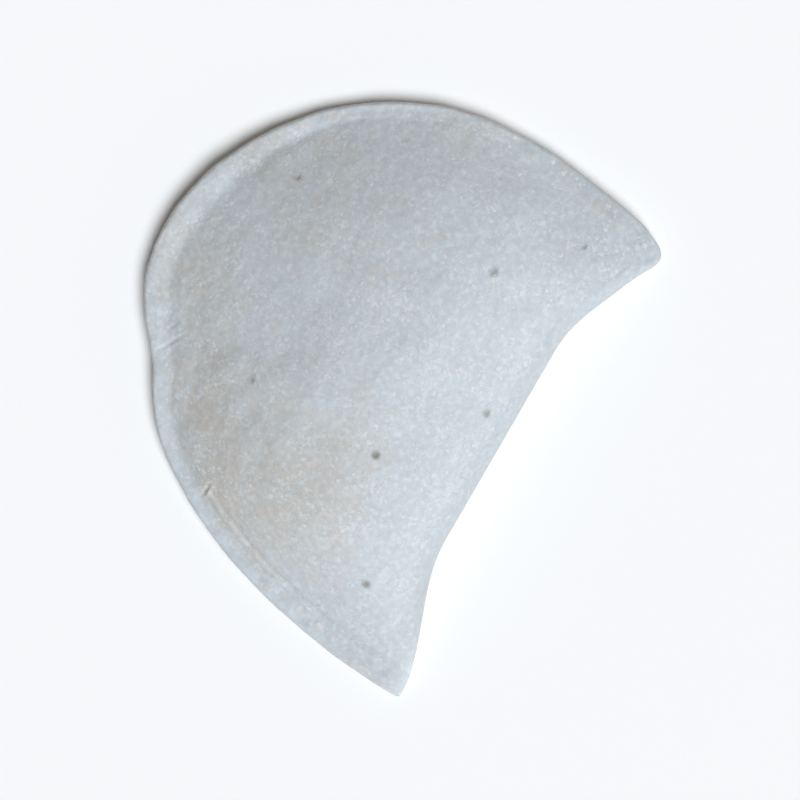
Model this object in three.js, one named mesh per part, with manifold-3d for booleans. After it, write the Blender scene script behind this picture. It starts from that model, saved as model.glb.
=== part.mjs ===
// A panzerotto: a round of dough folded in half over its filling, sealed along a pressed rim and pricked,
// raw and dusted with flour. One solid piece in millimetres, +Z up, lying on z = 0.
// X runs from tip to tip and Y from the fold to the crown of the rim.

import * as THREE from 'three';
import { mergeVertices } from 'three/addons/utils/BufferGeometryUtils.js';
import Module from 'manifold-3d';

const { clamp, lerp, radToDeg, smoothstep } = THREE.MathUtils;

// Outline from above: a half oval with one full shoulder and one flattened stretch, and a fold that
// pulls in.
// Angles are degrees round from the right tip.
const tipReach = 71; // from the middle of the fold to the left tip
const crownReach = 115.7; // depth of the plain half oval
const shoulderBulge = 19; // how far the right shoulder stands out past the oval
const shoulderAngle = 48.5;
const shoulderSpread = 33.4;
const flatDepth = 4.6; // how far the stretch left of the crown is pushed in
const flatAngle = 103;
const flatSpread = 8;
const tipCut = 2; // how far the round edge is pushed in beside the right tip
const tipCutAngle = 0.5;
const tipCutSpread = 3.2;
const foldPullIn = 10.9; // how far the middle of the fold lies inside the line through the tips
const foldRunOut = 44; // length over which the fold swings out to the left tip
const foldRunOutRight = 37.5; // and to the right tip
const tipDroop = 2; // how far the fold hangs out just before the right tip
const tipDroopInset = 3.5;
const tipDroopSpread = 4.5;
const tipSoftening = 3; // reach of the rounding at the two tips

// Heights
const bellyHeight = 30; // height that the belly rises towards on both sides, higher than its top
const doughHalf = 2; // half the thickness of the two sheets pressed together at the rim
const rimLift = 1.8; // gap under the sealed rim
const rimWave = 0.7; // how far the rim rises and falls along its length
const rimLongWaves = 2.3; // waves from tip to tip
const rimShortWaves = 5.1;
const rimLongStart = 0.6; // where in a wave the left tip lies, in radians
const rimShortStart = 2;
const foldSeamHeight = 6.5; // middle of the rounded fold above the table

// Widths of the shapes across the piece. Shares run along the rim, from 0 at the left tip to 1 at the
// right tip.
const rimWidth = 5.8; // pressed band along the round edge
const rimWidthRight = 4; // the same beside the right tip
const rimNarrows = 0.62; // shares between which the band narrows
const rimNarrow = 0.8;
const rimWidthWave = 1.5; // how far the band widens and narrows along its length
const rimWidthWaves = 2.2; // waves from tip to tip
const rimWidthStart = 0.385; // share at which a wave starts
const rimRun = 50; // from the pressed band to the top of the belly
const crownRun = 64; // the same at the crown, where the rise is longest
const crownShare = 0.54;
const crownSpread = 0.16;
const leftRunCut = 9; // how much shorter the rise is left of the crown, where it is steepest
const leftShare = 0.29;
const leftSpread = 0.09;
const rimSoftening = 2; // rounding between the band and the belly
const rimRisePower = 1.2; // above 1 the belly rises from the band in a hollow curve
const foldRun = 56; // from the fold to the top of the belly, at the middle of the fold
const foldRunPower = 0.9; // how the run shortens towards the tips
const shortestFoldRun = 8;
const foldRound = 3.8; // rounded edge of the fold
const foldRoundShare = 0.32; // share of the height that the rounded edge takes
const foldUnderRound = 12; // rounding under the fold
const settleRun = 14; // from the pressed band to where the underside lies flat

// Relief
const edgeRound = 1.2; // reach of the rounding at the outer edge of the rim
const lipHeight = 0.15; // raised outer lip of the rim
const lipInset = 2.2;
const lipSpread = 2;
const grooveDepth = 0.38; // groove pressed along the inside of the rim
const grooveDepthRight = 0.1;
const grooveSpread = 2;
const lumpHeight = 0.5; // unevenness of the belly
const lumpSpan = 9;
const smallLumpSpan = 5;
const lumpStart = [0.7, 1.9]; // where in a lump the middle of the line through the tips lies

// Pricked holes, as [x, y] from the middle of the line through the tips
const prickPlaces = [
  [39, 94.3], [61, 18.4], [43.2, 36], [9.6, 18.9], [-14.2, 38.9], [-13.6, 77.6], [-46.2, 23.9],
];
const prickWidth = 1.9;
const prickDepth = 3.2;
const prickSides = 8;
const prickProud = 1; // how far the cutting cone starts above the surface

// Mesh divisions
const outlineStep = 1;
const columns = 96;
const topRows = 13; // from an edge to the middle
const underRows = 7;
const edgeCrowding = 1.2; // how strongly the rows crowd towards the edges of a long column
const crowdingLength = 60;

const up = new THREE.Vector3(0, 0, 1);
const bell = (x, centre, spread) => Math.exp(-(((x - centre) / spread) ** 2));
const quarterRound = (x) => Math.sqrt(1 - (1 - clamp(x, 0, 1)) ** 2);
const easedRise = (x) => 1 - (1 - clamp(x, 0, 1)) ** 2;

// The round edge, from the left tip over the crown to the right tip
class RimCurve extends THREE.Curve {
  getPoint(t, target = new THREE.Vector3()) {
    const angle = Math.PI * (1 - t);
    const degrees = radToDeg(angle);
    const oval = (tipReach * crownReach)
      / Math.hypot(crownReach * Math.cos(angle), tipReach * Math.sin(angle));
    const radius = oval
      + shoulderBulge * bell(degrees, shoulderAngle, shoulderSpread)
      - flatDepth * bell(degrees, flatAngle, flatSpread)
      - tipCut * bell(degrees, tipCutAngle, tipCutSpread);
    return target.set(radius * Math.cos(angle), radius * Math.sin(angle), 0);
  }
}

// The folded edge, from the left tip to the right tip
class FoldCurve extends THREE.Curve {
  constructor(leftTip, rightTip) {
    super();
    this.leftTip = leftTip;
    this.rightTip = rightTip;
  }

  getPoint(t, target = new THREE.Vector3()) {
    target.lerpVectors(this.leftTip, this.rightTip, t);
    const toLeft = target.x - this.leftTip.x;
    const toRight = this.rightTip.x - target.x;
    const swing = smoothstep(Math.min(toLeft / foldRunOut, toRight / foldRunOutRight), 0, 1);
    target.y += foldPullIn * swing - tipDroop * bell(toRight, tipDroopInset, tipDroopSpread);
    return target;
  }
}

function evenPoints(curve) {
  return curve.getSpacedPoints(Math.round(curve.getLength() / outlineStep));
}

// Rounds the corners of a closed outline by averaging each point with its neighbours.
function softened(loop) {
  const reach = Math.round(tipSoftening / outlineStep);
  return loop.map((_, index) => {
    const mean = new THREE.Vector3();
    for (let offset = -reach; offset <= reach; offset += 1) {
      mean.add(loop[(index + offset + loop.length) % loop.length]);
    }
    return mean.divideScalar(2 * reach + 1);
  });
}

// A smooth measure of the distance from the rim: true beside the edge and free of creases further in
function makeRimMeasure(rim) {
  const samples = evenPoints(rim);
  const share = rim.getLength() / samples.length;
  return (place) => {
    let nearness = 0;
    for (const sample of samples) {
      nearness += share / sample.distanceTo(place) ** 3;
    }
    return Math.sqrt(2 / nearness);
  };
}

// The two edges with their shared tips rounded, both from left to right
function makeEdges() {
  const sharpRim = evenPoints(new RimCurve());
  const sharpFold = evenPoints(new FoldCurve(sharpRim[0], sharpRim.at(-1)));
  const backAlongRim = sharpRim.slice(1, -1).reverse();
  const loop = softened([...sharpFold, ...backAlongRim]);
  const fold = new THREE.CatmullRomCurve3(loop.slice(0, sharpFold.length));
  const rim = new THREE.CatmullRomCurve3([...loop.slice(sharpFold.length - 1), loop[0]].reverse());
  return { fold, rim, measureFromRim: makeRimMeasure(rim) };
}

// Height of the seam, where upper and under side meet, along the rim
function rimSeam(u) {
  const longWave = Math.sin(2 * Math.PI * rimLongWaves * u + rimLongStart);
  const shortWave = Math.sin(2 * Math.PI * rimShortWaves * u + rimShortStart);
  return rimLift + doughHalf + rimWave * (longWave + shortWave / 2);
}

// Height of the seam along the fold: low at the tips, higher where the filling fills it out
function foldSeam(u) {
  return lerp(rimLift + doughHalf, foldSeamHeight, Math.sin(Math.PI * u));
}

function lumps({ x, y }) {
  const broad = Math.sin(x / lumpSpan + lumpStart[0]) * Math.sin(y / lumpSpan + lumpStart[1]);
  const small = Math.sin((x - y / 2) / smallLumpSpan) * Math.sin((y + x) / smallLumpSpan);
  return lumpHeight * (broad + small / 2);
}

// Width of the pressed band and depth of its groove at a share u of the way along the rim
function rimBand(u) {
  const narrowing = smoothstep(u, rimNarrows, rimNarrow);
  const wave = Math.sin(2 * Math.PI * rimWidthWaves * (u - rimWidthStart));
  const width = lerp(rimWidth, rimWidthRight, narrowing) + rimWidthWave * wave;
  return { width, groove: lerp(grooveDepth, grooveDepthRight, narrowing) };
}

// Share of the belly's height reached at a distance from the pressed band
function rimRise(distance, u) {
  const longest = lerp(rimRun, crownRun, bell(u, crownShare, crownSpread));
  const run = longest - leftRunCut * bell(u, leftShare, leftSpread);
  const soft = (distance + Math.hypot(distance, 2 * rimSoftening)) / 2;
  return easedRise(soft / run) ** rimRisePower;
}

// Share of the full height reached at a distance from the fold
function foldRise(distance, u) {
  const run = Math.max(shortestFoldRun, foldRun * Math.sin(Math.PI * u) ** foldRunPower);
  return lerp(easedRise(distance / run), quarterRound(distance / foldRound), foldRoundShare);
}

// Heights of the upper and under side at a share v of the way along a column
function heights(column, v, place, inFromRim) {
  const toFold = v * column.length * column.foldSlant;
  const toRim = (1 - v) * column.length * column.rimSlant;
  const seam = lerp(foldSeam(column.u), rimSeam(column.u), smoothstep(v, 0, 1));
  const lipRound = quarterRound(toRim / edgeRound);
  const band = rimBand(column.u);
  const sheets = doughHalf
    + lipHeight * bell(toRim, lipInset, lipSpread)
    - band.groove * bell(inFromRim, band.width, grooveSpread);
  const belly = (bellyHeight - seam - doughHalf + lumps(place)) * rimRise(inFromRim - band.width, column.u);
  const settled = smoothstep(inFromRim, rimWidth / 2, rimWidth + settleRun);
  const top = seam + foldRise(toFold, column.u) * (sheets * lipRound + belly);
  const under = seam
    - quarterRound(toFold / foldUnderRound) * (doughHalf * lipRound + (seam - doughHalf) * settled);
  return { top, under };
}

// One column of the surface, from the fold to the rim, with the slant at which it meets each edge
function makeColumn(edges, u) {
  const start = edges.fold.getPointAt(u);
  const end = edges.rim.getPointAt(u);
  const along = end.clone().sub(start);
  const length = along.length();
  along.normalize();
  const slantTo = (curve) => Math.abs(curve.getTangentAt(u).cross(up).dot(along));
  return { u, start, end, length, foldSlant: slantTo(edges.fold), rimSlant: slantTo(edges.rim) };
}

// Shares of a column's length at which its rows lie, crowded towards both edges
function rowShares(length, rows) {
  const power = 1 + edgeCrowding * Math.min(1, length / crowdingLength);
  const half = [];
  for (let row = 1; row <= rows; row += 1) {
    half.push((row / rows) ** power / 2);
  }
  const back = half.slice(0, -1).reverse().map((share) => 1 - share);
  return [...half, ...back];
}

// A closed ring round a column: from the fold over the top to the rim, and back underneath
function makeRing(edges, column) {
  const pointOn = (side) => (v) => {
    const point = new THREE.Vector3().lerpVectors(column.start, column.end, v);
    return point.setZ(heights(column, v, point, edges.measureFromRim(point))[side]);
  };
  const over = [0, ...rowShares(column.length, topRows), 1];
  const beneath = rowShares(column.length, underRows).reverse();
  return [...over.map(pointOn('top')), ...beneath.map(pointOn('under'))];
}

// Skins the rings from the left tip to the right tip, with a point at each end.
function makeBody(edges) {
  const leftTip = edges.fold.getPointAt(0).setZ(rimSeam(0));
  const rightTip = edges.fold.getPointAt(1).setZ(rimSeam(1));
  const rings = [];
  for (let index = 1; index < columns; index += 1) {
    rings.push(makeRing(edges, makeColumn(edges, index / columns)));
  }
  const ringSize = rings[0].length;
  const last = rings.length - 1;
  const points = [leftTip, ...rings.flat(), rightTip];
  const at = (ring, place) => 1 + ring * ringSize + (place % ringSize);
  const triangles = [];
  for (let place = 0; place < ringSize; place += 1) {
    triangles.push(0, at(0, place), at(0, place + 1));
    for (let ring = 0; ring < last; ring += 1) {
      triangles.push(at(ring, place), at(ring + 1, place), at(ring + 1, place + 1));
      triangles.push(at(ring, place), at(ring + 1, place + 1), at(ring, place + 1));
    }
    triangles.push(at(last, place), points.length - 1, at(last, place + 1));
  }
  const geometry = new THREE.BufferGeometry().setFromPoints(points);
  geometry.setIndex(triangles);
  return geometry;
}

// A pointed cutter for one pricked hole, standing on its tip in the surface
function makePrick(body, [x, y]) {
  const ray = new THREE.Raycaster(new THREE.Vector3(x, y, 2 * bellyHeight), up.clone().negate());
  const surface = ray.intersectObject(body)[0].point.z;
  const height = prickDepth + prickProud;
  const radius = (prickWidth / 2) * (height / prickDepth);
  const cone = new THREE.ConeGeometry(radius, height, prickSides);
  cone.rotateX(-Math.PI / 2);
  cone.translate(x, y, surface - prickDepth + height / 2);
  return cone;
}

const wasm = await Module();
wasm.setup();

function toSolid(geometry) {
  const bare = geometry.clone();
  bare.deleteAttribute('normal');
  bare.deleteAttribute('uv');
  const merged = mergeVertices(bare);
  return new wasm.Manifold(new wasm.Mesh({
    numProp: 3,
    vertProperties: new Float32Array(merged.attributes.position.array),
    triVerts: new Uint32Array(merged.index.array),
  }));
}

function toGeometry(solid) {
  const mesh = solid.getMesh();
  const geometry = new THREE.BufferGeometry();
  geometry.setAttribute('position', new THREE.BufferAttribute(mesh.vertProperties, 3));
  geometry.setIndex(new THREE.BufferAttribute(mesh.triVerts, 1));
  geometry.computeVertexNormals();
  return geometry;
}

// The body with its pricked holes, moved so that the origin is under the middle of its box
function makePanzerotto() {
  const body = new THREE.Mesh(makeBody(makeEdges()));
  let solid = toSolid(body.geometry);
  for (const place of prickPlaces) {
    solid = solid.subtract(toSolid(makePrick(body, place)));
  }
  const geometry = toGeometry(solid);
  geometry.computeBoundingBox();
  const { min, max } = geometry.boundingBox;
  geometry.translate(-(min.x + max.x) / 2, -(min.y + max.y) / 2, -min.z);
  const flouredDough = new THREE.MeshStandardMaterial({ color: 0xc6cdd1, roughness: 0.92, metalness: 0 });
  const mesh = new THREE.Mesh(geometry, flouredDough);
  mesh.name = 'panzerotto';
  return mesh;
}

const part = new THREE.Group();
part.add(makePanzerotto());

export default part;
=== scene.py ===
"""The looks of a raw, floured panzerotto, in metres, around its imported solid.

The dough is one fine mesh on the outline and heights of the solid, with the seam of its two sheets, the
pressed rim, creases and pricked holes as relief. Flakes of loose flour lie on it as a second mesh."""

import math
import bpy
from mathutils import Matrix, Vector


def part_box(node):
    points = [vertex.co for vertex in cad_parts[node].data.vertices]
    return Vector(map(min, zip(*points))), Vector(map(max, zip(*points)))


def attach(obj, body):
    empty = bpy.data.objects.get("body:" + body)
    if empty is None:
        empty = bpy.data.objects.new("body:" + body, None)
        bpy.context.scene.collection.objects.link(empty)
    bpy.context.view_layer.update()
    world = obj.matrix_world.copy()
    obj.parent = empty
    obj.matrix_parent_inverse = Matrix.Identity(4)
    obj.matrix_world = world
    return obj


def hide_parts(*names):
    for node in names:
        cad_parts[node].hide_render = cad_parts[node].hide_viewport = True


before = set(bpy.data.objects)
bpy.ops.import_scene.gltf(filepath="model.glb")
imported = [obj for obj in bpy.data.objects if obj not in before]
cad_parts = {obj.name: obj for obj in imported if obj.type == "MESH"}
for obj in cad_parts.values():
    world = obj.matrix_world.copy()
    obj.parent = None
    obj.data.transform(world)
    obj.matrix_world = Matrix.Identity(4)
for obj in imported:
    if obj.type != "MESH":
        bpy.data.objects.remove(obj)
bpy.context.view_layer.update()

from types import SimpleNamespace

import bmesh
import bpy
import numpy as np
from mathutils import Matrix, Vector, noise

MM = 0.001
SEED = 7

# Outline from above, in millimetres from the middle of the line through the tips; angles in degrees
TIP_REACH = 71.0
CROWN_REACH = 115.7
SHOULDER_BULGE, SHOULDER_ANGLE, SHOULDER_SPREAD = 19.0, 48.5, 33.4
FLAT_DEPTH, FLAT_ANGLE, FLAT_SPREAD = 4.6, 103.0, 8.0
TIP_CUT, TIP_CUT_ANGLE, TIP_CUT_SPREAD = 2.0, 0.5, 3.2
FOLD_PULL_IN = 10.9
FOLD_RUN_OUT, FOLD_RUN_OUT_RIGHT = 44.0, 37.5
TIP_DROOP, TIP_DROOP_INSET, TIP_DROOP_SPREAD = 2.0, 3.5, 4.5
TIP_SOFTENING, LEFT_TIP_SOFTENING = 3.0, 1.5
LEFT_TIP_START, LEFT_TIP_FULL = -58.0, -66.0  # x, where the softening turns into that of the left tip

# Heights and widths, in millimetres; places along the rim are shares of it, from the left tip to the right
BELLY_HEIGHT = 30.0
DOUGH_HALF = 2.0
RIM_LIFT = 1.8
RIM_WAVE, RIM_LONG_WAVES, RIM_SHORT_WAVES = 0.7, 2.3, 5.1
RIM_LONG_START, RIM_SHORT_START = 0.6, 2.0  # where the waves start, in radians
FOLD_SEAM_HEIGHT = 6.5
RIM_WIDTH, RIM_WIDTH_RIGHT = 5.8, 4.0
RIM_NARROWS, RIM_NARROW = 0.62, 0.8
RIM_WIDTH_WAVE, RIM_WIDTH_WAVES, RIM_WIDTH_START = 1.5, 2.2, 0.385
RIM_RUN, CROWN_RUN, CROWN_SHARE, CROWN_SPREAD = 50.0, 64.0, 0.54, 0.16
LEFT_RUN_CUT, LEFT_SHARE, LEFT_SPREAD = 9.0, 0.29, 0.09  # the belly rises more steeply there
RIM_SOFTENING = 2.0
RIM_RISE_POWER = 1.2
FOLD_RUN, SHORTEST_FOLD_RUN, FOLD_RUN_POWER = 56.0, 8.0, 0.9
RIGHT_RUN_GAIN = 0.4  # the rise from the fold is longer beside the right tip
RIGHT_RUN_START, RIGHT_RUN_FULL = 0.6, 0.8
FOLD_ROUND, FOLD_ROUND_SHARE = 3.8, 0.32
FOLD_UNDER_ROUND = 12.0
SETTLE_RUN = 14.0
LIP_HEIGHT, LIP_INSET, LIP_SPREAD = 0.15, 2.2, 2.0
EDGE_ROUND = 1.2  # reach of the rounding at the outer edge of the rim
GROOVE_DEPTH, GROOVE_DEPTH_RIGHT, GROOVE_SPREAD = 0.38, 0.1, 2.0
LUMP_HEIGHT, LUMP_SPAN, SMALL_LUMP_SPAN = 0.5, 9.0, 5.0
LUMP_START_X, LUMP_START_Y = 0.7, 1.9  # where the broad lumps start, in radians

# Fine relief that the solid leaves out, in millimetres
SEAM_NOTCH, SEAM_ROW = 0.6, 0.02  # depth of the seam and how far in its two lips start
EDGE_WAVE, EDGE_WAVE_SPAN = 0.35, 8.0
BAND_START, BAND_END = 0.05, 0.28  # the rim is doubled between these shares, beside the left tip
BAND_FADE_IN, BAND_FADE_OUT = 0.06, 0.008  # shares over which the doubling sets in and ends
RIDGE_HEIGHT, RIDGE_INSET = 0.36, 6.2  # raised inner edge of the doubled rim, and the line pressed beside it
LINE_DEPTH, LINE_INSET = 0.48, 7.5
LINE_SPREAD = 0.7
EDGE_LINE_HEIGHT, EDGE_LINE_INSET, EDGE_LINE_SPREAD = 0.14, 3.5, 0.8  # fine line on the rim's right side
EDGE_LINE_START, EDGE_LINE_FULL = 0.6, 0.68
LINES_CLEAR_OF_FOLD = (2.0, 8.0)  # these lines set in between these distances from the fold
RIM_UNEVENNESS, RIM_UNEVEN_SPAN = 0.45, 6.0
RIM_UNEVEN_END = (5.0, 10.0)  # it fades out between these distances from the edge
WRINKLE_HEIGHT, WRINKLE_SPAN, FINE_WRINKLE_SHARE = 0.5, 7.0, 0.4
WRINKLE_CENTRE, WRINKLE_REACH = (-24.0, 84.0), (30.0, 26.0)
UNEVENNESS = ((0.45, 21.0), (0.25, 8.0), (0.14, 3.0), (0.07, 1.6))  # height and span of each scale
UNDER_ROUGHNESS = ((0.15, 5.0, 2.1), (0.075, 1.8, 4.4))  # height, span and pattern of each scale
CALM_EDGE = 1.5  # relief sets in over this distance from an edge

# Patterns of the random field: each number gives another one
EDGE_PATTERN, WRINKLE_PATTERN, FINE_WRINKLE_PATTERN = 1.7, 3.7, 5.3
RIM_PATTERN, CLUMP_PATTERN, UNEVEN_PATTERN = 8.9, 6.1, 11.3

# Creases and pricked holes, in millimetres
CREASES = (  # inner end, outer end, width and depth, which is negative for a raised fold
    ((-10.0, 103.1), (-15.2, 105.3), 0.5, 0.12),
    ((-13.4, 100.4), (-21.6, 105.2), 0.5, 0.22),
    ((-44.6, 74.3), (-49.6, 74.8), 0.5, 0.3),
    ((-45.1, 73.1), (-50.4, 73.7), 0.5, -0.2),
    ((-9.0, 74.7), (-5.0, 69.8), 0.6, -0.09),
    ((-17.0, 84.0), (-13.5, 80.6), 0.6, 0.08),
)
CREASE_REACH, CREASE_CUTS = 3.2, 2  # in widths, how far the mesh is refined, and the cuts in an edge there
CREASE_SWELL, CREASE_SWELL_OFF = 0.25, 2.0  # height of the swells in depths, and their place in widths
CREASE_FADE = 0.12  # its depth follows half a wave along it, without this share at each end
PRICKS = (  # x, y, width, stretch along the fold and how dark it looks
    (39.0, 94.3, 2.4, 1.0, 0.42),
    (61.0, 18.4, 1.9, 1.2, 0.32),
    (43.2, 36.0, 2.9, 1.1, 0.48),
    (9.6, 18.9, 2.4, 1.05, 0.52),
    (-14.2, 38.9, 2.5, 1.0, 0.85),
    (-13.6, 77.6, 2.6, 1.1, 0.45),
    (-46.2, 23.9, 2.4, 0.95, 0.72),
)
PRICK_DEPTH, PRICK_PIT_REACH = 0.6, 0.7  # reaches from here on are in half widths
PRICK_SWELL, PRICK_SWELL_REACH = 0.1, 1.6
PRICK_RAGGED, PRICK_RAGGED_SPAN = 0.4, 0.8
PRICK_ROUNDS = ((2.6, 2), (1.6, 1))  # rounds of refining: reach, and cuts in an edge
PRICK_SHADE_END = (0.3, 1.5)  # its dark colour, partly painted shade, fades out between these

# Mesh divisions, in millimetres or as counts
OUTLINE_SAMPLES = 2000
OUTLINE_STEP, MEASURE_STEP = 0.25, 1.0
COLUMNS = 400
TOP_ROWS, UNDER_ROWS = 80, 16  # from an edge to the middle
EDGE_CROWDING, CROWDING_LENGTH = 0.3, 60.0


def bell(x, centre, spread):
    return np.exp(-(((x - centre) / spread) ** 2))


def smoothstep(x, low, high):
    t = np.clip((x - low) / (high - low), 0.0, 1.0)
    return t * t * (3.0 - 2.0 * t)


def quarter_round(x):
    return np.sqrt(1.0 - (1.0 - np.clip(x, 0.0, 1.0)) ** 2)


def fold_rise(distance, column):
    """Share of the belly's height reached at a distance from the folded edge."""
    longer = 1.0 + RIGHT_RUN_GAIN * smoothstep(column, RIGHT_RUN_START, RIGHT_RUN_FULL)
    run = np.maximum(SHORTEST_FOLD_RUN, longer * FOLD_RUN * np.sin(np.pi * column) ** FOLD_RUN_POWER)
    ramp = 1.0 - (1.0 - np.clip(distance / run, 0.0, 1.0)) ** 2
    return FOLD_ROUND_SHARE * quarter_round(distance / FOLD_ROUND) + (1.0 - FOLD_ROUND_SHARE) * ramp


def rim_rise(distance, column):
    """Share of the belly's height reached at a distance from the inner edge of the rim."""
    longer = (CROWN_RUN - RIM_RUN) * bell(column, CROWN_SHARE, CROWN_SPREAD)
    run = RIM_RUN + longer - LEFT_RUN_CUT * bell(column, LEFT_SHARE, LEFT_SPREAD)
    soft = (distance + np.hypot(distance, 2.0 * RIM_SOFTENING)) / 2.0
    return (1.0 - (1.0 - np.clip(soft / run, 0.0, 1.0)) ** 2) ** RIM_RISE_POWER


def rim_width(column):
    narrow = smoothstep(column, RIM_NARROWS, RIM_NARROW)
    wave = RIM_WIDTH_WAVE * np.sin(2.0 * np.pi * RIM_WIDTH_WAVES * (column - RIM_WIDTH_START))
    return RIM_WIDTH + (RIM_WIDTH_RIGHT - RIM_WIDTH) * narrow + wave


def random_field(points, span, pattern):
    """A smooth random value of about -1 to 1 at each point, with lumps about one span across."""
    flat = points.reshape(-1, 3) / span + pattern
    values = [noise.noise(point) for point in flat.tolist()]
    return np.array(values).reshape(points.shape[:-1])


def spaced(line, shares):
    """Points at the given shares of an open line's length."""
    steps = np.linalg.norm(np.diff(line, axis=0), axis=1)
    along = np.concatenate([[0.0], np.cumsum(steps)])
    wanted = np.asarray(shares) * along[-1]
    return np.stack([np.interp(wanted, along, line[:, axis]) for axis in range(2)], axis=-1)


def evenly_spaced(line, step):
    length = np.linalg.norm(np.diff(line, axis=0), axis=1).sum()
    return spaced(line, np.linspace(0.0, 1.0, round(length / step) + 1))


def rim_line():
    """The round edge, from the left tip over the crown to the right tip."""
    angle = np.linspace(np.pi, 0.0, OUTLINE_SAMPLES)
    degrees = np.degrees(angle)
    oval = TIP_REACH * CROWN_REACH / np.hypot(CROWN_REACH * np.cos(angle), TIP_REACH * np.sin(angle))
    radius = (
        oval
        + SHOULDER_BULGE * bell(degrees, SHOULDER_ANGLE, SHOULDER_SPREAD)
        - FLAT_DEPTH * bell(degrees, FLAT_ANGLE, FLAT_SPREAD)
        - TIP_CUT * bell(degrees, TIP_CUT_ANGLE, TIP_CUT_SPREAD)
    )
    return evenly_spaced(np.stack([radius * np.cos(angle), radius * np.sin(angle)], axis=-1), OUTLINE_STEP)


def fold_line(left, right):
    """The folded edge, from the left tip to the right tip."""
    x = np.linspace(left, right, OUTLINE_SAMPLES)
    swing = smoothstep(np.minimum((x - left) / FOLD_RUN_OUT, (right - x) / FOLD_RUN_OUT_RIGHT), 0.0, 1.0)
    y = FOLD_PULL_IN * swing - TIP_DROOP * bell(right - x, TIP_DROOP_INSET, TIP_DROOP_SPREAD)
    return evenly_spaced(np.stack([x, y], axis=-1), OUTLINE_STEP)


def softened(loop, softening):
    """A closed outline with its corners rounded, each point averaged with its neighbours."""
    reach = round(softening / OUTLINE_STEP)
    shifted = [np.roll(loop, offset, axis=0) for offset in range(-reach, reach + 1)]
    return np.mean(shifted, axis=0)


def make_edges():
    """The two edges with their shared tips rounded, both from left to right."""
    rim = rim_line()
    fold = fold_line(rim[0, 0], rim[-1, 0])
    outline = np.concatenate([fold, rim[-2:0:-1]])
    left = smoothstep(-outline[:, :1], -LEFT_TIP_START, -LEFT_TIP_FULL)
    loop = (1.0 - left) * softened(outline, TIP_SOFTENING) + left * softened(outline, LEFT_TIP_SOFTENING)
    soft_fold = loop[: len(fold)]
    soft_rim = np.concatenate([loop[len(fold) - 1 :], loop[:1]])[::-1]
    return soft_fold, soft_rim


def slant(line, shares, along):
    """How squarely columns that run along the given directions meet an edge: 1 is square on."""
    reach = 0.002
    ahead = spaced(line, np.clip(shares + reach, 0.0, 1.0))
    behind = spaced(line, np.clip(shares - reach, 0.0, 1.0))
    tangent = ahead - behind
    tangent /= np.linalg.norm(tangent, axis=1, keepdims=True)
    return np.abs(tangent[:, 1] * along[:, 0] - tangent[:, 0] * along[:, 1])


def make_columns():
    """Straight lines from the fold to the rim, spread from the left tip to the right tip."""
    fold, rim = make_edges()
    share = np.linspace(0.0, 1.0, COLUMNS + 1)[1:-1]
    start = spaced(fold, share)
    end = spaced(rim, share)
    outward = (end - start) / np.linalg.norm(end - start, axis=1, keepdims=True)
    ragged = random_field(np.column_stack([end, np.zeros(len(end))]), EDGE_WAVE_SPAN, EDGE_PATTERN)
    end = end + EDGE_WAVE * ragged[:, None] * outward
    return SimpleNamespace(
        share=share,
        start=start,
        end=end,
        outward=outward,
        length=np.linalg.norm(end - start, axis=1),
        fold_slant=slant(fold, share, outward),
        rim_slant=slant(rim, share, outward),
        rim=evenly_spaced(rim, MEASURE_STEP),
        tips=(fold[0], fold[-1]),
    )


def row_shares(length, rows):
    """Shares of each column's length at which its rows lie, crowded towards both edges."""
    power = 1.0 + EDGE_CROWDING * np.minimum(1.0, length / CROWDING_LENGTH)
    half = 0.5 * (np.arange(1, rows + 1) / rows) ** power[:, None]
    return np.concatenate([half, 1.0 - half[:, -2::-1]], axis=1)


def measure_from_rim(place, rim):
    """A smooth measure of the distance from the rim, true beside the edge and free of creases further in."""
    step = np.linalg.norm(rim[1] - rim[0])
    inset = np.empty(place.shape[:2])
    for index, row in enumerate(place):
        distance = np.linalg.norm(row[:, None, :] - rim[None, :, :], axis=-1)
        inset[index] = np.sqrt(2.0 / (step / np.maximum(distance, 1e-6) ** 3).sum(axis=1))
    return inset


def make_grid(columns, shares):
    """Places along the columns with their distances from the edges."""
    place = columns.start[:, None, :] + shares[..., None] * (columns.end - columns.start)[:, None, :]
    length = columns.length[:, None]
    return SimpleNamespace(
        place=place,
        x=place[..., 0],
        y=place[..., 1],
        column=columns.share[:, None],
        share=shares,
        to_fold=shares * length * columns.fold_slant[:, None],
        to_rim=(1.0 - shares) * length * columns.rim_slant[:, None],
        inset=measure_from_rim(place, columns.rim),
    )


def rim_seam(column):
    """Height of the seam along the rim."""
    long_wave = np.sin(2.0 * np.pi * RIM_LONG_WAVES * column + RIM_LONG_START)
    short_wave = np.sin(2.0 * np.pi * RIM_SHORT_WAVES * column + RIM_SHORT_START)
    return RIM_LIFT + DOUGH_HALF + RIM_WAVE * (long_wave + short_wave / 2.0)


def seam_height(grid):
    """Height at which upper and under side meet."""
    arch = (FOLD_SEAM_HEIGHT - RIM_LIFT - DOUGH_HALF) * np.sin(np.pi * grid.column)
    fold_seam = RIM_LIFT + DOUGH_HALF + arch
    blend = smoothstep(grid.share, 0.0, 1.0)
    return fold_seam + (rim_seam(grid.column) - fold_seam) * blend


def lumps(grid):
    broad = np.sin(grid.x / LUMP_SPAN + LUMP_START_X) * np.sin(grid.y / LUMP_SPAN + LUMP_START_Y)
    across = np.sin((grid.x - grid.y / 2.0) / SMALL_LUMP_SPAN)
    small = across * np.sin((grid.y + grid.x) / SMALL_LUMP_SPAN)
    return LUMP_HEIGHT * (broad + small / 2.0)


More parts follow.
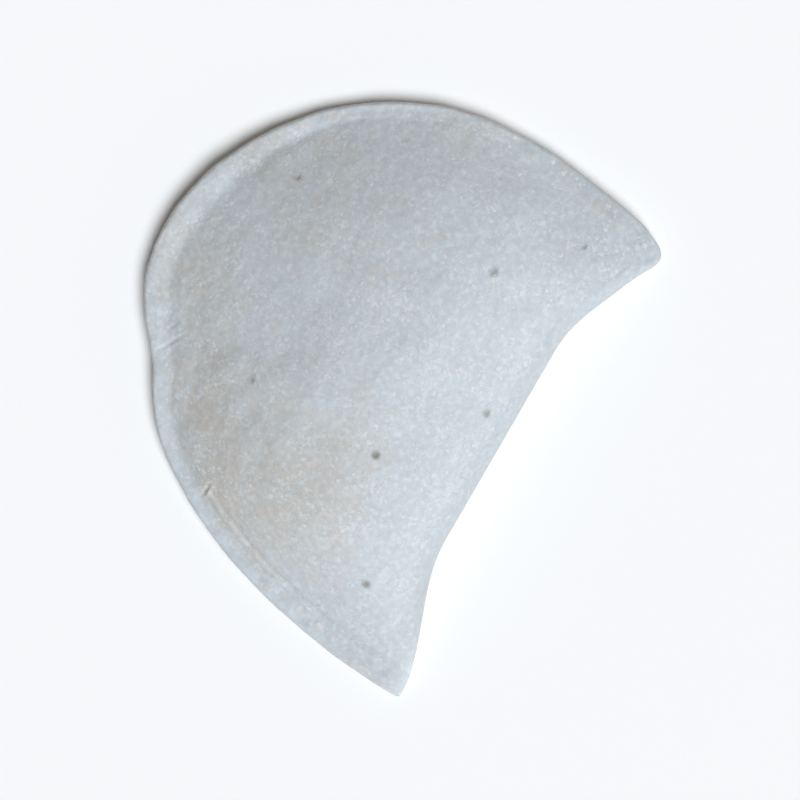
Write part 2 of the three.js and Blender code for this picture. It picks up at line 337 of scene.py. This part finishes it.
def top_height(grid):
    seam = seam_height(grid)
    lip_round = quarter_round(grid.to_rim / EDGE_ROUND)
    narrow = smoothstep(grid.column, RIM_NARROWS, RIM_NARROW)
    width = rim_width(grid.column)
    belly = rim_rise(grid.inset - width, grid.column)
    lip = LIP_HEIGHT * bell(grid.to_rim, LIP_INSET, LIP_SPREAD)
    depth = GROOVE_DEPTH + (GROOVE_DEPTH_RIGHT - GROOVE_DEPTH) * narrow
    groove = depth * bell(grid.inset, width, GROOVE_SPREAD)
    belly_rise = (BELLY_HEIGHT - seam - DOUGH_HALF + lumps(grid)) * belly
    rise = (DOUGH_HALF + lip - groove) * lip_round + belly_rise
    return seam + fold_rise(grid.to_fold, grid.column) * rise


def under_height(grid):
    seam = seam_height(grid)
    lip_round = quarter_round(grid.to_rim / EDGE_ROUND)
    settled = smoothstep(grid.inset, RIM_WIDTH / 2.0, RIM_WIDTH + SETTLE_RUN)
    depth = DOUGH_HALF * lip_round + (seam - DOUGH_HALF) * settled
    return seam - quarter_round(grid.to_fold / FOLD_UNDER_ROUND) * depth


def wrinkle_relief(grid, points):
    """Low wrinkles where the filling drew the dough together."""
    centre_x, centre_y = WRINKLE_CENTRE
    reach_x, reach_y = WRINKLE_REACH
    where = bell(grid.x, centre_x, reach_x) * bell(grid.y, centre_y, reach_y)
    broad = random_field(points, WRINKLE_SPAN, WRINKLE_PATTERN)
    fine = random_field(points, WRINKLE_SPAN / 2.0, FINE_WRINKLE_PATTERN)
    return WRINKLE_HEIGHT * where * (broad + FINE_WRINKLE_SHARE * fine)


def doubled(column):
    """1 where the rim is doubled, fading towards the left tip."""
    ends = 1.0 - smoothstep(column, BAND_END - BAND_FADE_OUT, BAND_END)
    return smoothstep(column, BAND_START, BAND_START + BAND_FADE_IN) * ends


def rim_relief(grid, points):
    """The pressed rim: finger-wide dips, a doubled band beside the left tip and a fine line on the right."""
    near_edge = 1.0 - smoothstep(grid.inset, *RIM_UNEVEN_END)
    dips = RIM_UNEVENNESS * random_field(points, RIM_UNEVEN_SPAN, RIM_PATTERN) * near_edge
    ridge = RIDGE_HEIGHT * bell(grid.inset, RIDGE_INSET, LINE_SPREAD)
    pressed = LINE_DEPTH * bell(grid.inset, LINE_INSET, LINE_SPREAD)
    band = doubled(grid.column) * (ridge - pressed)
    right = smoothstep(grid.column, EDGE_LINE_START, EDGE_LINE_FULL)
    line = EDGE_LINE_HEIGHT * right * bell(grid.inset, EDGE_LINE_INSET, EDGE_LINE_SPREAD)
    return dips + (band + line) * smoothstep(grid.to_fold, *LINES_CLEAR_OF_FOLD)


def unevenness(points):
    relief = np.zeros(points.shape[:-1])
    for index, (height, span) in enumerate(UNEVENNESS):
        relief += height * random_field(points, span, UNEVEN_PATTERN * (index + 1))
    return relief


def roughness(points):
    """Small rises of the underside, none of them below it."""
    rises = np.zeros(points.shape[:-1])
    for height, span, pattern in UNDER_ROUGHNESS:
        rises += height * np.abs(random_field(points, span, pattern))
    return rises


def off_edges(grid):
    """0 at the edges and 1 where relief has fully set in."""
    return smoothstep(np.minimum(grid.to_fold, grid.to_rim), 0.0, CALM_EDGE)


def make_surface(columns):
    """Rings of points in millimetres, from the fold over the top to the rim and back underneath, with their
    distances from the rim and the fold and how far the rim is doubled there."""
    fold_edge = np.zeros((len(columns.share), 1))
    seam_lip = 1.0 - SEAM_ROW / columns.length[:, None]
    top_rows = row_shares(columns.length, TOP_ROWS)
    under_rows = row_shares(columns.length, UNDER_ROWS)
    top = make_grid(columns, np.concatenate([fold_edge, top_rows, seam_lip, fold_edge + 1.0], axis=1))
    under = make_grid(columns, np.concatenate([seam_lip, under_rows[:, ::-1]], axis=1))
    top_points = np.dstack([top.place, top_height(top)])
    under_points = np.dstack([under.place, under_height(under)])
    relief = unevenness(top_points) + wrinkle_relief(top, top_points) + rim_relief(top, top_points)
    top_points[..., 2] += off_edges(top) * relief
    under_points[..., 2] += off_edges(under) * roughness(under_points)
    top_points[:, -1, :2] -= SEAM_NOTCH * columns.outward
    rings = np.concatenate([top_points, under_points], axis=1)
    values = {
        "inset": np.concatenate([top.inset, under.inset], axis=1),
        "from_fold": np.concatenate([top.to_fold, under.to_fold], axis=1),
        "doubling": np.broadcast_to(doubled(top.column), rings.shape[:2]),
    }
    return rings, values


def ring_faces(ring_count, ring_size):
    """Quads between neighbouring rings, and triangles from the first and last ring to the tips."""
    faces = []
    tip = ring_count * ring_size
    for place in range(ring_size):
        after = (place + 1) % ring_size
        faces.append((tip, place, after))
        for ring in range(ring_count - 1):
            here = ring * ring_size
            faces.append((here + place, here + ring_size + place, here + ring_size + after, here + after))
        last = (ring_count - 1) * ring_size
        faces.append((last + place, tip + 1, last + after))
    return faces


def ring_map(mesh, rings, columns):
    """Lays the surface out flat for baking: tip to tip across, round each ring upwards."""
    ring_count, ring_size = rings.shape[:2]
    closed = np.concatenate([rings, rings[:, :1]], axis=1)
    steps = np.linalg.norm(np.diff(closed, axis=1), axis=2)
    around = np.cumsum(steps, axis=1) / steps.sum(axis=1, keepdims=True)
    around = np.concatenate([np.zeros((ring_count, 1)), around[:, :-1]], axis=1)
    layer = mesh.uv_layers.new(name="OFBake")
    tip = ring_count * ring_size
    for polygon in mesh.polygons:
        places = [mesh.loops[loop].vertex_index for loop in polygon.loop_indices]
        wraps = any(0 < index < tip and index % ring_size == ring_size - 1 for index in places)
        for loop, index in zip(polygon.loop_indices, places):
            if index >= tip:
                layer.data[loop].uv = (float(index - tip), 0.5)
                continue
            ring, place = divmod(index, ring_size)
            height = 1.0 if wraps and place == 0 else around[ring, place]
            layer.data[loop].uv = (columns.share[ring], height)


def add_piece(name, data):
    piece = bpy.data.objects.new(name, data)
    bpy.context.collection.objects.link(piece)
    return piece


def make_dough():
    """The dough, in metres in the frame, and the shift of its plan there."""
    columns = make_columns()
    rings, values = make_surface(columns)
    ring_count, ring_size = rings.shape[:2]
    tips = [(*columns.tips[side], float(rim_seam(side))) for side in (0, 1)]
    points = np.concatenate([rings.reshape(-1, 3), tips])
    mesh = bpy.data.meshes.new("dough")
    mesh.from_pydata(points.tolist(), [], ring_faces(ring_count, ring_size))
    ring_map(mesh, rings, columns)
    for name, layer in values.items():
        store(mesh, name, np.concatenate([layer.ravel(), np.zeros(len(tips))]))
    press_details(mesh)
    low, high = np.array(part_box("panzerotto"))
    corners = mesh_points(mesh)
    shift = (low + high)[:2] / 2.0 - MM * (corners.min(axis=0) + corners.max(axis=0))[:2] / 2.0
    mesh.transform(Matrix.Translation((*shift, 0.0)) @ Matrix.Scale(MM, 4))
    mesh.shade_smooth()
    return add_piece("dough", mesh), shift


def mesh_points(mesh):
    points = np.empty(len(mesh.vertices) * 3)
    mesh.vertices.foreach_get("co", points)
    return points.reshape(-1, 3)


def store(mesh, name, values):
    layer = mesh.attributes.new(name=name, type="FLOAT", domain="POINT")
    layer.data.foreach_set("value", values.astype(np.float32))


def stored(mesh, name):
    values = np.empty(len(mesh.vertices), dtype=np.float32)
    mesh.attributes[name].data.foreach_get("value", values)
    return values


def press_details(mesh):
    """Refines the mesh round the creases and pricked holes and presses them in."""
    work = bmesh.new()
    work.from_mesh(mesh)
    for crease in CREASES:
        press_crease(work, *crease)
    for prick in PRICKS:
        press_prick(work, *prick)
    work.to_mesh(mesh)
    work.free()


def near_on_top(work, measure, reach):
    return [vertex for vertex in work.verts if vertex.normal.z > 0.0 and measure(vertex) < reach]


def refine(work, measure, *rounds):
    """Cuts the upper side's edges within each round's reach, and returns the vertices within the first."""
    for reach, cuts in rounds:
        near = set(near_on_top(work, measure, reach))
        edges = [edge for edge in work.edges if near.issuperset(edge.verts)]
        bmesh.ops.subdivide_edges(work, edges=edges, cuts=cuts, use_grid_fill=True)
        work.normal_update()
    first_reach = rounds[0][0]
    return near_on_top(work, measure, first_reach)


def press_crease(work, inner_end, outer_end, width, depth):
    """Presses a narrow valley between soft swells, fading towards both ends."""
    start = Vector(inner_end)
    line = Vector(outer_end) - start

    def share_along(vertex):
        return min(1.0, max(0.0, (vertex.co.xy - start).dot(line) / line.length_squared))

    def off(vertex):
        return (vertex.co.xy - start - share_along(vertex) * line).length

    moves = []
    for vertex in refine(work, off, (CREASE_REACH * width, CREASE_CUTS)):
        fade = math.sin(math.pi * (CREASE_FADE + (1.0 - 2.0 * CREASE_FADE) * share_along(vertex)))
        swells = CREASE_SWELL * bell(off(vertex), CREASE_SWELL_OFF * width, width)
        moves.append((vertex, depth * fade * (bell(off(vertex), 0.0, width) - swells)))
    for vertex, move in moves:
        vertex.co.z -= move


def prick_measure(x, y, width, stretch):
    """A measure of the distance from a pricked hole that is 1 at its edge."""

    def measure(point_x, point_y):
        return 2.0 * np.hypot((point_x - x) / stretch, (point_y - y) * stretch) / width

    return measure


def press_prick(work, x, y, width, stretch, darkness):
    """Pushes a ragged hole in, with a low swell round it."""
    measure = prick_measure(x, y, width, stretch)

    def away(vertex):
        return measure(vertex.co.x, vertex.co.y)

    for vertex in refine(work, away, *PRICK_ROUNDS):
        ragged = away(vertex) * (1.0 + PRICK_RAGGED * noise.noise(vertex.co / PRICK_RAGGED_SPAN))
        pit = PRICK_DEPTH * darkness**0.5 * bell(ragged, 0.0, PRICK_PIT_REACH)
        swell = PRICK_SWELL * bell(away(vertex), 0.0, PRICK_SWELL_REACH)
        vertex.co.z += swell - pit


# Materials: spans are in millimetres, and ranges are the values between which something changes

DOUGH_COLOUR = (0.566, 0.543, 0.506)
FLOUR_COLOUR = (0.554, 0.588, 0.609)
# darker dough in the pricked holes, partly painted shade of the holes
PRICK_DOUGH_AND_SHADE_COLOUR = (0.266, 0.244, 0.213)
PAINTED_SHADE_FACTOR = (0.86, 0.86, 0.86)  # painted shade: shaded places are this much darker
NOISE_RANGE = (0.3, 0.7)  # most values of a noise texture
COVER_NOISE = {  # unevenness of the flour: span, detail and how much more or less flour
    "patches": (16.0, 3.0, 0.22),
    "smears": (4.0, 3.0, 0.16),
    "mottle": (1.6, 2.0, 0.12),
    "grain": (0.7, 2.0, 0.08),
}
COVER_RANGE = (0.1, 0.95)  # from bare dough to full flour
FLECK_SPAN, FLECK_RANGE, FLECK_BRIGHTNESS = 1.5, (0.52, 0.66), (1.0, 1.1)
MOTTLE_BRIGHTNESS = (0.95, 1.05)
DOUGH_ROUGHNESS = (0.72, 0.95)  # bare and floured
COARSE_SPAN, COARSE_DETAIL = 2.2, 3.0
COARSE_BUMP, GRAIN_BUMP = (0.25, 0.35), (0.12, 0.6)  # distance in millimetres and strength
DOUGH_SHADER = {
    "Specular IOR Level": 0.22,
    "Subsurface Weight": 0.2,
    "Subsurface Radius": (1.0, 0.7, 0.5),
    "Subsurface Scale": 1.5 * MM,
    "Sheen Weight": 0.07,
    "Sheen Roughness": 0.5,
}
LOOSE_FLOUR_DARK, LOOSE_FLOUR_LIGHT = (0.57, 0.586, 0.588), (0.65, 0.666, 0.67)
LOOSE_FLOUR_SPAN, LOOSE_FLOUR_RANGE = 1.2, (0.35, 0.65)
LOOSE_FLOUR_SHADER = {"Roughness": 0.95, "Specular IOR Level": 0.2}


def link(tree, start, end):
    tree.links.new(start, end)


def add_node(tree, kind, **settings):
    node = tree.nodes.new(kind)
    for name, value in settings.items():
        setattr(node, name, value)
    return node


def object_coordinates(tree):
    return add_node(tree, "ShaderNodeTexCoord").outputs["Object"]


def stored_value(tree, name):
    """A value that is stored at the points of the mesh."""
    return add_node(tree, "ShaderNodeAttribute", attribute_name=name).outputs["Fac"]


def noise_node(tree, coordinates, span, detail=2.0):
    """A noise texture whose lumps are about one span across."""
    node = add_node(tree, "ShaderNodeTexNoise")
    node.inputs["Scale"].default_value = 1.0 / (span * MM)
    node.inputs["Detail"].default_value = detail
    link(tree, coordinates, node.inputs["Vector"])
    return node.outputs["Fac"]


def spread(tree, value, low, high, to_low=0.0, to_high=1.0):
    """Maps a value from one range to another, held at the ends."""
    node = add_node(tree, "ShaderNodeMapRange", clamp=True)
    for name, number in (("From Min", low), ("From Max", high), ("To Min", to_low), ("To Max", to_high)):
        node.inputs[name].default_value = number
    link(tree, value, node.inputs["Value"])
    return node.outputs["Result"]


def added(tree, first, second):
    node = add_node(tree, "ShaderNodeMath", operation="ADD")
    link(tree, first, node.inputs[0])
    link(tree, second, node.inputs[1])
    return node.outputs["Value"]


def mix_colours(tree, factor, first, second, blend="MIX"):
    """Mixes two colours, each a constant or a socket."""
    node = add_node(tree, "ShaderNodeMix", data_type="RGBA", blend_type=blend)
    link(tree, factor, node.inputs["Factor"])
    for socket, colour in zip(node.inputs[6:8], (first, second)):
        if isinstance(colour, tuple):
            socket.default_value = (*colour, 1.0)
        else:
            link(tree, colour, socket)
    return node.outputs[2]


def scaled(tree, colour, factor):
    node = add_node(tree, "ShaderNodeVectorMath", operation="SCALE")
    link(tree, colour, node.inputs[0])
    link(tree, factor, node.inputs["Scale"])
    return node.outputs["Vector"]


def bump(tree, height, distance, strength, below=None):
    node = add_node(tree, "ShaderNodeBump")
    node.inputs["Strength"].default_value = strength
    node.inputs["Distance"].default_value = distance * MM
    link(tree, height, node.inputs["Height"])
    if below is not None:
        link(tree, below, node.inputs["Normal"])
    return node.outputs["Normal"]


def new_material(name, constants):
    """A material whose shader has the given values, with its node tree and shader."""
    material = bpy.data.materials.new(name)
    material.use_nodes = True
    tree = material.node_tree
    shader = tree.nodes["Principled BSDF"]
    for socket, value in constants.items():
        shader.inputs[socket].default_value = value
    return material, tree, shader


def floured_dough_material():
    material, tree, shader = new_material("floured_dough", DOUGH_SHADER)
    coordinates = object_coordinates(tree)
    # flour, with painted light and shade on the rim's bands and lines
    cover_and_painted_light = stored_value(tree, "flour_and_painted_light")
    noises = {}
    for name, (span, detail, amount) in COVER_NOISE.items():
        noises[name] = noise_node(tree, coordinates, span, detail)
        cover_and_painted_light = added(tree, cover_and_painted_light, spread(tree, noises[name], *NOISE_RANGE, -amount, amount))
    cover_and_painted_light = spread(tree, cover_and_painted_light, *COVER_RANGE)
    colour = mix_colours(tree, cover_and_painted_light, DOUGH_COLOUR, FLOUR_COLOUR)
    flecks = noise_node(tree, coordinates, FLECK_SPAN)
    colour = scaled(tree, colour, spread(tree, flecks, *FLECK_RANGE, *FLECK_BRIGHTNESS))
    colour = scaled(tree, colour, spread(tree, noises["mottle"], *NOISE_RANGE, *MOTTLE_BRIGHTNESS))
    # painted shade along the fold, in patches and on the rim beside the right tip, multiplied into the
    # colour
    colour = mix_colours(tree, stored_value(tree, "painted_shade"), colour, PAINTED_SHADE_FACTOR, "MULTIPLY")
    # the pricked holes: darker dough and painted shade
    colour = mix_colours(tree, stored_value(tree, "prick"), colour, PRICK_DOUGH_AND_SHADE_COLOUR)
    link(tree, colour, shader.inputs["Base Color"])
    link(tree, spread(tree, cover_and_painted_light, 0.0, 1.0, *DOUGH_ROUGHNESS), shader.inputs["Roughness"])
    coarse = bump(tree, noise_node(tree, coordinates, COARSE_SPAN, COARSE_DETAIL), *COARSE_BUMP)
    link(tree, bump(tree, noises["grain"], *GRAIN_BUMP, coarse), shader.inputs["Normal"])
    return material


def loose_flour_material():
    material, tree, shader = new_material("loose_flour", LOOSE_FLOUR_SHADER)
    tone = spread(tree, noise_node(tree, object_coordinates(tree), LOOSE_FLOUR_SPAN), *LOOSE_FLOUR_RANGE)
    colour = mix_colours(tree, tone, LOOSE_FLOUR_DARK, LOOSE_FLOUR_LIGHT)
    link(tree, colour, shader.inputs["Base Color"])
    return material


# Flour, painted light and painted shade on the dough, in the plan of the piece and in millimetres; pairs of
# distances are fades

FLOUR_COVER = 1.06
RIM_FLOUR, RIM_FLOUR_END = -0.1, (3.6, 6.0)  # less flour on the pressed rim
OUTER_BAND_FLOUR_AND_HIGHLIGHT, OUTER_BAND_END = 0.4, (2.8, 3.8)  # flour on the two bands of the doubled rim and its line, with painted light on the lighter outer band and painted shade on the inner band and in the line
INNER_BAND_FLOUR_AND_SHADE, INNER_BAND_END = -0.35, (5.2, RIDGE_INSET)
LINE_FLOUR_AND_SHADE = -0.7
RIGHT_LINE_CENTRE, RIGHT_LINE_REACH = (71.0, 22.0), 16.0  # a bare line along the rim beside the right tip, partly painted shade of a valley
RIGHT_LINE_INSET, RIGHT_LINE_SPREAD, RIGHT_LINE_BARE_AND_SHADE = 4.2, 0.6, 0.5
BARE_PATCHES = (  # x, y, reach, how much flour is missing, and the share of that which the rim misses too
    (-27.0, 82.0, 21.0, 0.75, 0.1),
    (-36.0, 47.0, 18.0, 0.65, 0.2),
    (-14.0, 46.0, 16.0, 0.45, 1.0),
    (-48.0, 62.0, 12.0, 0.45, 0.2),
    (-6.0, 98.0, 16.0, 0.4, 0.5),
    (10.0, 113.0, 14.0, 0.4, 1.0),
    (35.0, 85.0, 26.0, 0.35, 1.0),
    (-43.0, 76.0, 9.0, 0.6, 0.3),
    (38.0, 107.0, 7.0, 0.45, 1.0),
    (70.0, 62.0, 9.0, 0.35, 1.0),
)
PATCH_RIM = (3.0, 6.0)  # the rim ends between these distances from its edge
FOLD_PAINTED_SHADE = (1.5, 6.5)  # painted shade along the folded edge fades between these distances
FOLD_PAINTED_SHADE_START = (-66.0, -46.0)  # and sets in between these places beside the left tip
PAINTED_SHADE_PATCHES = (  # other places with painted shade: x, y, reach and how much shade
    (63.0, 13.0, 13.0, 0.45),
    (71.0, 4.0, 7.0, 1.0),
    (67.0, 42.0, 11.0, 0.35),
    (38.0, 108.0, 7.0, 0.5),
    (-44.0, 77.0, 9.0, 0.55),
)
RIGHT_RIM_CENTRE, RIGHT_RIM_REACH = (77.0, 26.0), 26.0  # the outside of the rim has painted shade there too
RIGHT_RIM_PAINTED_SHADE, RIGHT_RIM_END = 0.8, (3.0, 7.0)


def distance_from(plan, x, y):
    return np.hypot(plan[:, 0] - x, plan[:, 1] - y)


def flour_cover_and_painted_light(plan, inset, doubling):
    """How much flour lies at each point: 0 is bare dough and 1 is full. The bands and line of the doubled
    rim and a line beside the right tip also carry painted light and shade.
    """
    cover_and_painted_light = FLOUR_COVER + RIM_FLOUR * (1.0 - smoothstep(inset, *RIM_FLOUR_END))
    outer_band = 1.0 - smoothstep(inset, *OUTER_BAND_END)
    inner_band = (1.0 - outer_band) * (1.0 - smoothstep(inset, *INNER_BAND_END))
    line = bell(inset, LINE_INSET, LINE_SPREAD)
    # painted highlight on the outer band and painted shade on the inner band and in the line, along with
    # their flour
    cover_and_painted_light += doubling * (OUTER_BAND_FLOUR_AND_HIGHLIGHT * outer_band + INNER_BAND_FLOUR_AND_SHADE * inner_band + LINE_FLOUR_AND_SHADE * line)
    # a darker line beside the right tip: less flour and painted shade
    beside_tip = bell(distance_from(plan, *RIGHT_LINE_CENTRE), 0.0, RIGHT_LINE_REACH)
    cover_and_painted_light -= RIGHT_LINE_BARE_AND_SHADE * beside_tip * bell(inset, RIGHT_LINE_INSET, RIGHT_LINE_SPREAD)
    on_belly = smoothstep(inset, *PATCH_RIM)
    for x, y, reach, missing, rim_share in BARE_PATCHES:
        missing_here = missing * (rim_share + (1.0 - rim_share) * on_belly)
        cover_and_painted_light -= missing_here * bell(distance_from(plan, x, y), 0.0, reach)
    return cover_and_painted_light


def painted_shade_amount(plan, inset, from_fold):
    """How much painted shade darkens each point: along the folded edge, in some patches and on the rim
    beside the right tip.
    """
    painted_shade = (1.0 - smoothstep(from_fold, *FOLD_PAINTED_SHADE)) * smoothstep(plan[:, 0], *FOLD_PAINTED_SHADE_START)
    for x, y, reach, amount in PAINTED_SHADE_PATCHES:
        painted_shade = np.maximum(painted_shade, amount * bell(distance_from(plan, x, y), 0.0, reach))
    beside_tip = bell(distance_from(plan, *RIGHT_RIM_CENTRE), 0.0, RIGHT_RIM_REACH)
    return np.maximum(painted_shade, RIGHT_RIM_PAINTED_SHADE * beside_tip * (1.0 - smoothstep(inset, *RIGHT_RIM_END)))


def prick_shade(plan, height):
    """How dark the pricked holes of the upper side make each point: darker dough and painted shade of the
    holes.
    """
    shade = np.zeros(len(plan))
    on_top = height > (RIM_LIFT + DOUGH_HALF) * MM
    for x, y, width, stretch, darkness in PRICKS:
        away = prick_measure(x, y, width, stretch)(plan[:, 0], plan[:, 1])
        shade = np.maximum(shade, on_top * darkness * (1.0 - smoothstep(away, *PRICK_SHADE_END)))
    return shade


def paint_flour_and_shade(piece, shift):
    """Stores how much flour lies at each point of the dough, with painted light and shade on the rim's bands
    and lines, how much painted shade darkens it and how dark its holes are.
    """
    mesh = piece.data
    points = mesh_points(mesh)
    plan = (points[:, :2] - shift) / MM
    inset = stored(mesh, "inset")
    store(mesh, "flour_and_painted_light", flour_cover_and_painted_light(plan, inset, stored(mesh, "doubling")))
    store(mesh, "painted_shade", painted_shade_amount(plan, inset, stored(mesh, "from_fold")))
    store(mesh, "prick", prick_shade(plan, points[:, 2]))


# Loose flour, in millimetres

FLAKE_COUNT = 6500
FLAKE_SIZES = (0.2, 0.8)  # smallest and largest half width
FLAKE_SIZE_POWER = 3.0  # the higher, the rarer the large ones
FLAKE_STRETCHES = (0.75, 1.35)  # from the broadest to the longest
FLAKE_FLATNESS, FLAKE_WOBBLE = 0.08, 0.2  # height and unevenness, in half widths
FLAKE_SIDES = 7
FLAKE_CLUMP_SPAN, FLAKE_CLUMP_POWER = 7.0, 1.5
FLAKE_EVENNESS = 0.45  # the higher, the less they lie in clumps
FLAKE_FREE_EDGE, FLAKE_FREE_FOLD = 1.6, 4.0  # no flakes lie this close to the rim's edge and the fold
FLAKE_FREE_SLOPE = 0.25  # nor on faces whose normal rises less than this


def flake_shape():
    """A low lens of unit half width, and its triangles: a rim between one point above and one below."""
    angle = np.arange(FLAKE_SIDES) * 2.0 * np.pi / FLAKE_SIDES
    rim = np.stack([np.cos(angle), np.sin(angle), np.zeros(FLAKE_SIDES)], axis=-1)
    points = np.concatenate([rim, [(0.0, 0.0, FLAKE_FLATNESS), (0.0, 0.0, -FLAKE_FLATNESS)]])
    here = np.arange(FLAKE_SIDES)
    after = (here + 1) % FLAKE_SIDES
    upper = np.stack([here, after, np.full(FLAKE_SIDES, FLAKE_SIDES)], axis=-1)
    under = np.stack([after, here, np.full(FLAKE_SIDES, FLAKE_SIDES + 1)], axis=-1)
    return points, np.concatenate([upper, under])


def scatter(mesh, draw):
    """Spots in loose clumps over the upper side, clear of its edges and holes, and which way up is there."""
    mesh.calc_loop_triangles()
    corners = np.array([triangle.vertices[:] for triangle in mesh.loop_triangles])
    points = mesh_points(mesh)
    a, b, c = (points[corners[:, k]] for k in range(3))
    normal = np.cross(b - a, c - a)
    double_area = np.linalg.norm(normal, axis=1)
    facing_up = normal[:, 2] > FLAKE_FREE_SLOPE * double_area
    field = random_field((a + b + c) / 3.0, FLAKE_CLUMP_SPAN * MM, CLUMP_PATTERN)
    clumps = np.clip(FLAKE_EVENNESS + field, 0.0, 1.0)
    outside_pricks = stored(mesh, "prick")[corners].max(axis=1) == 0.0
    off_edge = stored(mesh, "inset")[corners].min(axis=1) > FLAKE_FREE_EDGE
    off_fold = stored(mesh, "from_fold")[corners].min(axis=1) > FLAKE_FREE_FOLD
    chance = double_area * facing_up * outside_pricks * off_edge * off_fold * clumps**FLAKE_CLUMP_POWER
    chosen = draw.choice(len(corners), FLAKE_COUNT, p=chance / chance.sum())
    first, second = draw.random((2, FLAKE_COUNT, 1))
    root = np.sqrt(first)
    spots = (1.0 - root) * a[chosen] + root * (1.0 - second) * b[chosen] + root * second * c[chosen]
    return spots, normal[chosen] / double_area[chosen, None]


def make_flakes(dough):
    """Flakes of loose flour as one piece, each with its own size, turn, stretch and uneven edge."""
    draw = np.random.default_rng(SEED)
    spots, ups = scatter(dough.data, draw)
    smallest, largest = FLAKE_SIZES
    sizes = smallest + (largest - smallest) * draw.random(FLAKE_COUNT) ** FLAKE_SIZE_POWER
    turns = draw.random(FLAKE_COUNT) * 2.0 * np.pi
    broadest, longest = FLAKE_STRETCHES
    stretches = broadest + (longest - broadest) * draw.random(FLAKE_COUNT)
    shape, faces = flake_shape()
    vertices = []
    for spot, up, size, turn, stretch in zip(spots, ups, sizes, turns, stretches):
        lean = np.array(Vector((0.0, 0.0, 1.0)).rotation_difference(Vector(up)).to_matrix())
        spin = np.array(Matrix.Rotation(turn, 3, "Z"))
        wobble = shape * (1.0 + FLAKE_WOBBLE * draw.standard_normal((len(shape), 1)))
        flake = wobble * (stretch, 1.0 / stretch, 1.0) * size * MM
        vertices.append(flake @ (lean @ spin).T + spot)
    offsets = np.arange(FLAKE_COUNT)[:, None, None] * len(shape)
    triangles = (faces[None] + offsets).reshape(-1, 3)
    mesh = bpy.data.meshes.new("flour_flakes")
    mesh.from_pydata(np.concatenate(vertices).tolist(), [], triangles.tolist())
    return add_piece("flour_flakes", mesh)


# Stage, in metres where nothing else is said

PHOTO_RIGHT = Vector((0.4975, -0.8675, 0.0))  # directions of the photograph in the piece's frame
PHOTO_UP = Vector((0.8675, 0.4975, 0.0))
CAMERA_HEIGHT = 0.56
SENSOR_WIDTH = 36.0  # millimetres
FRAME_WIDTH = 0.218
AIM = (0.3, 40.7, 5.0)  # middle of the picture, in the plan of the piece, in millimetres
CAMERA_OFFSET = (0.0246, 0.0303)  # along the photograph's right and up
KEY_DIRECTION = (-0.26, -0.71, 1.25)
KEY_STRENGTH = 3.42
KEY_WIDTH = 34.0  # degrees
KEY_COLOUR = (0.87, 0.932, 1.0)
HORIZON_COLOUR = (0.83, 0.82, 0.808)
BRIGHT_SKY = (0.225, 0.185, 0.147)
DARK_SKY = (0.0, 0.0, 0.0)
BRIGHT_SIDE = (0.5, -0.85, 0.0)  # direction of the bright side of the sky
HORIZON_END, SKY_START = 0.16, 0.36  # heights of the direction between which horizon turns into sky
FLOOR_HALF = 4.0
FLOOR_SHADER = {"Base Color": (0.95, 0.93, 0.91, 1.0), "Roughness": 0.8, "Specular IOR Level": 0.2}


def make_camera(shift):
    camera = bpy.data.cameras.new("camera")
    camera.sensor_width = SENSOR_WIDTH
    target = Vector((AIM[0] * MM + shift[0], AIM[1] * MM + shift[1], AIM[2] * MM))
    side, top = CAMERA_OFFSET
    place = target + PHOTO_RIGHT * side + PHOTO_UP * top + Vector((0.0, 0.0, CAMERA_HEIGHT))
    back = (place - target).normalized()
    right = PHOTO_UP.cross(back).normalized()
    up = back.cross(right)
    camera.lens = camera.sensor_width * (place - target).length / FRAME_WIDTH
    piece = add_piece("camera", camera)
    turn = Matrix((right, up, back)).transposed().to_4x4()
    piece.matrix_world = Matrix.Translation(place) @ turn
    bpy.context.scene.camera = piece


def make_light():
    """One wide, soft and slightly cool light from the side of the fold."""
    light = bpy.data.lights.new("key", "SUN")
    light.energy = KEY_STRENGTH
    light.angle = math.radians(KEY_WIDTH)
    light.color = KEY_COLOUR
    piece = add_piece("key", light)
    piece.rotation_mode = "QUATERNION"
    piece.rotation_quaternion = Vector(KEY_DIRECTION).to_track_quat("Z", "Y")


def make_world():
    """A pale horizon under a dim sky that is brighter on one side."""
    world = bpy.data.worlds.new("studio")
    bpy.context.scene.world = world
    world.use_nodes = True
    tree = world.node_tree
    background = tree.nodes["Background"]
    direction = add_node(tree, "ShaderNodeTexCoord").outputs["Generated"]
    parts = add_node(tree, "ShaderNodeSeparateXYZ")
    link(tree, direction, parts.inputs["Vector"])
    height = spread(tree, parts.outputs["Z"], HORIZON_END, SKY_START)
    towards = add_node(tree, "ShaderNodeVectorMath", operation="DOT_PRODUCT")
    towards.inputs[1].default_value = BRIGHT_SIDE
    link(tree, direction, towards.inputs[0])
    side = spread(tree, towards.outputs["Value"], -1.0, 1.0)
    sky = mix_colours(tree, side, DARK_SKY, BRIGHT_SKY)
    link(tree, mix_colours(tree, height, HORIZON_COLOUR, sky), background.inputs["Color"])


def make_floor():
    mesh = bpy.data.meshes.new("floor")
    corners = [(FLOOR_HALF * x, FLOOR_HALF * y, 0.0) for x, y in ((-1, -1), (1, -1), (1, 1), (-1, 1))]
    mesh.from_pydata(corners, [], [(0, 1, 2, 3)])
    material, _, _ = new_material("pale_floor", FLOOR_SHADER)
    mesh.materials.append(material)
    floor = add_piece("floor", mesh)


dough, plan_shift = make_dough()
paint_flour_and_shade(dough, plan_shift)
dough.data.materials.append(floured_dough_material())
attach(dough, "root")
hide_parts("panzerotto")

flakes = make_flakes(dough)
flakes.data.materials.append(loose_flour_material())
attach(flakes, "root")

make_floor()
make_world()
make_light()
make_camera(plan_shift)
bpy.context.scene.view_settings.view_transform = "Standard"
